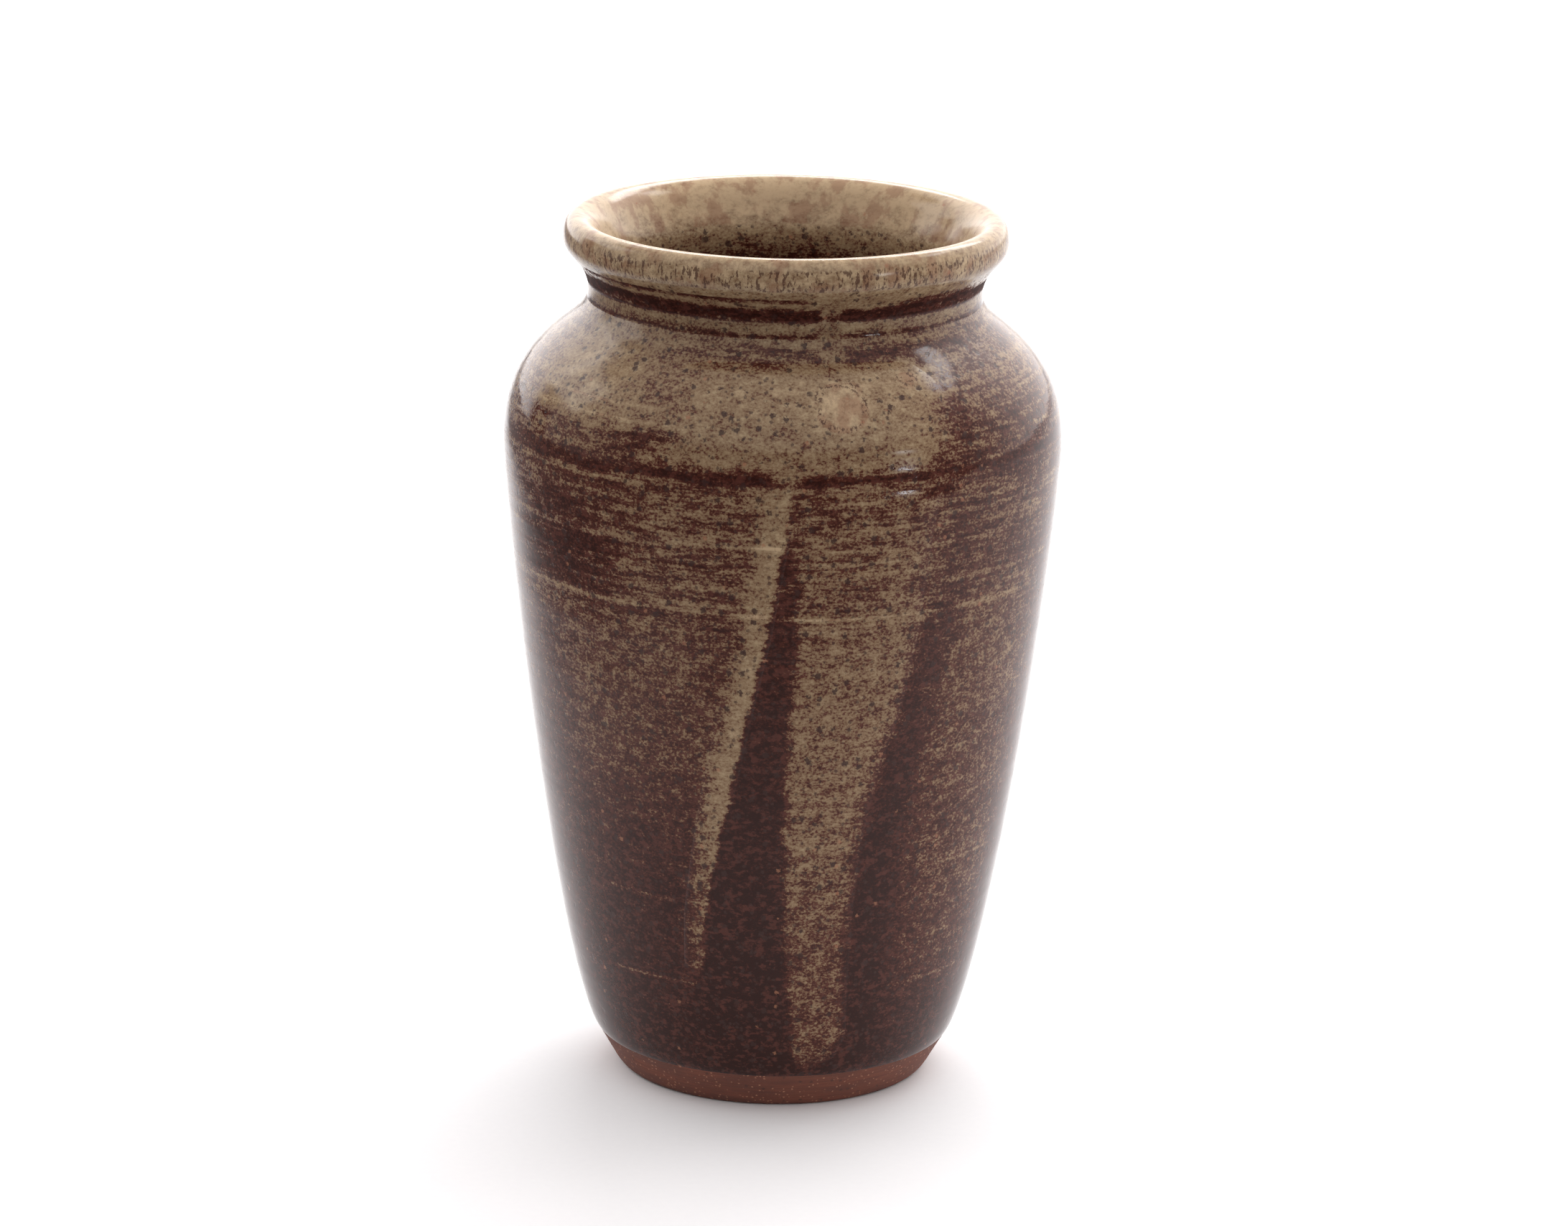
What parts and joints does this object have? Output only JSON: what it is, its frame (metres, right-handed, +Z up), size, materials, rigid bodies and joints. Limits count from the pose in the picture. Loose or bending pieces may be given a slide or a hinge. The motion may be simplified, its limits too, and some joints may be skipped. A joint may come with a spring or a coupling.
{
  "type": "ceramic bud vase",
  "caption": "Small wheel-thrown stoneware bud vase with a rolled lip, high shoulder, iron-brown and tan glaze, and a bare clay foot.",
  "frame": {"origin": "centre of the foot on the surface that the vase stands on", "axes": "+Z up along the vase's axis of turning, -Y towards the front with the two long glaze runs, +X to its right"},
  "size_m": [0.0758, 0.0761, 0.1191],
  "materials": {
    "bare_stoneware": "unglazed, fired matt, fine grog",
    "tan_liner_glaze": "gloss, speckled",
    "brown_outer_glaze": "gloss, breaking tan in streaks",
    "tan_pour_glaze": "gloss, iron spotted"
  },
  "bodies": {
    "root": {"clay_body": "bare_stoneware", "liner_glaze": "tan_liner_glaze", "outer_glaze": "brown_outer_glaze", "shoulder_pour": "tan_pour_glaze", "broad_run": "tan_pour_glaze", "slanted_run": "tan_pour_glaze"}
  },
  "joints": []
}
